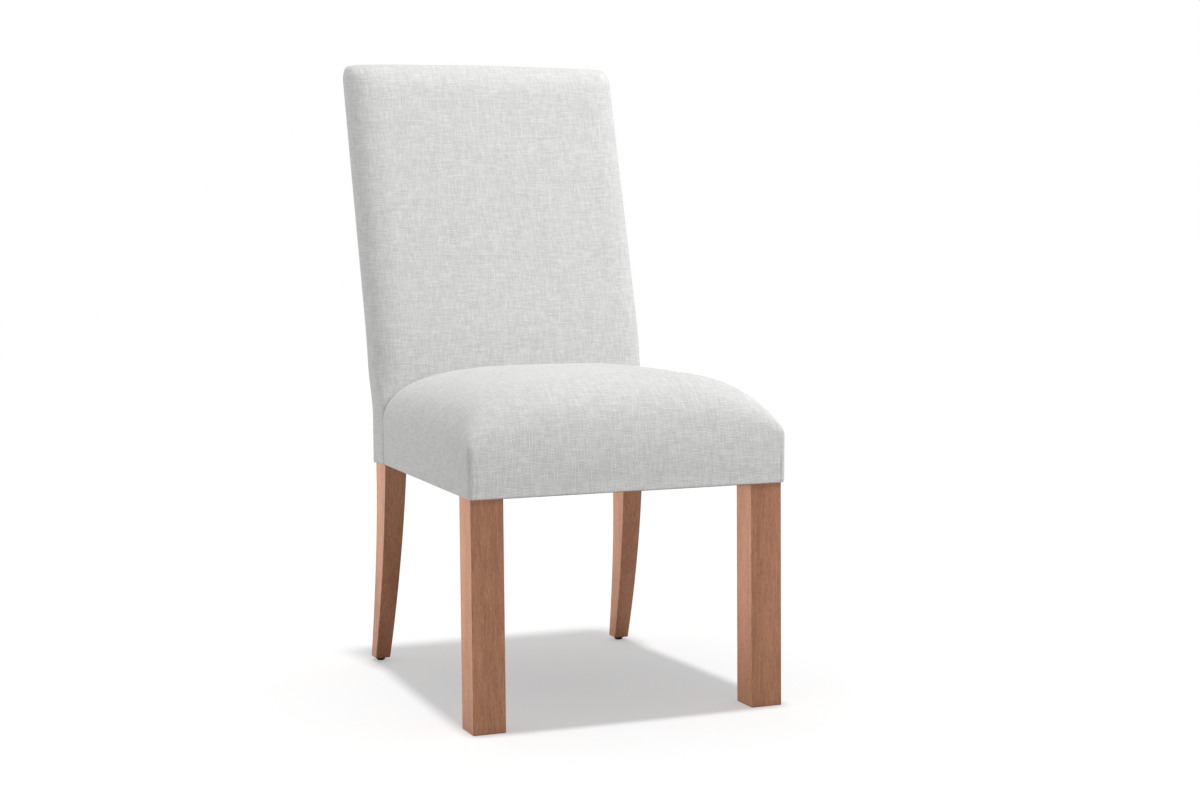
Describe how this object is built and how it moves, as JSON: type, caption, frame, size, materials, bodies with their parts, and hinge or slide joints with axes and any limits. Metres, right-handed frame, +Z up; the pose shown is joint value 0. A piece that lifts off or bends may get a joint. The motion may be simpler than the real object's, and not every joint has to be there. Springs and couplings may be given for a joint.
{
  "type": "parsons chair",
  "caption": "Upholstered parsons dining chair with a crowned seat, a tall raked back, square front legs and curved rear legs.",
  "frame": {"origin": "on the floor under the middle of the chair's overall box", "axes": "+Z up, -Y the way the seat faces, +X the right of the chair seen from the front"},
  "size_m": [0.4822, 0.6696, 0.963],
  "materials": {
    "stained_wood": "medium brown stain under a satin lacquer",
    "frame_wood": "bare sawn hardwood",
    "linen": "pale grey linen weave with slubs, matt",
    "batting": "white polyester wadding",
    "foam": "cream cut upholstery foam",
    "webbing": "woven elastic strap",
    "platform_cloth": "woven hessian",
    "dust_cloth": "black non-woven cloth",
    "board": "thin hardboard",
    "steel": "zinc-plated screws",
    "glide_plastic": "black moulded"
  },
  "bodies": {
    "root": {"back_batting": "batting", "back_cover": "linen", "back_foam": "foam", "back_platform_cloth": "platform_cloth", "back_webbing_1": "webbing", "back_webbing_2": "webbing", "back_webbing_3": "webbing", "back_webbing_4": "webbing", "block_screw_front_cross_left": "steel", "block_screw_front_cross_right": "steel", "block_screw_front_side_left": "steel", "block_screw_front_side_right": "steel", "block_screw_rear_cross_left": "steel", "block_screw_rear_cross_right": "steel", "block_screw_rear_side_left": "steel", "block_screw_rear_side_right": "steel", "corner_block_front_left": "frame_wood", "corner_block_front_right": "frame_wood", "corner_block_rear_left": "frame_wood", "corner_block_rear_right": "frame_wood", "crest_rail": "frame_wood", "dust_cover": "dust_cloth", "front_leg_left": "stained_wood", "front_leg_right": "stained_wood", "front_seat_rail": "frame_wood", "glide_left": "glide_plastic", "glide_right": "glide_plastic", "outside_back_batting": "batting", "outside_back_board": "board", "outside_back_cover": "linen", "rear_post_left": "stained_wood", "rear_post_right": "stained_wood", "rear_seat_rail": "frame_wood", "seat_batting": "batting", "seat_cover": "linen", "seat_foam": "foam", "seat_platform_cloth": "platform_cloth", "seat_webbing_cross_1": "webbing", "seat_webbing_cross_2": "webbing", "seat_webbing_cross_3": "webbing", "seat_webbing_cross_4": "webbing", "seat_webbing_long_1": "webbing", "seat_webbing_long_2": "webbing", "seat_webbing_long_3": "webbing", "seat_webbing_long_4": "webbing", "side_seat_rail_left": "frame_wood", "side_seat_rail_right": "frame_wood", "stuffing_rail": "frame_wood"}
  },
  "joints": []
}
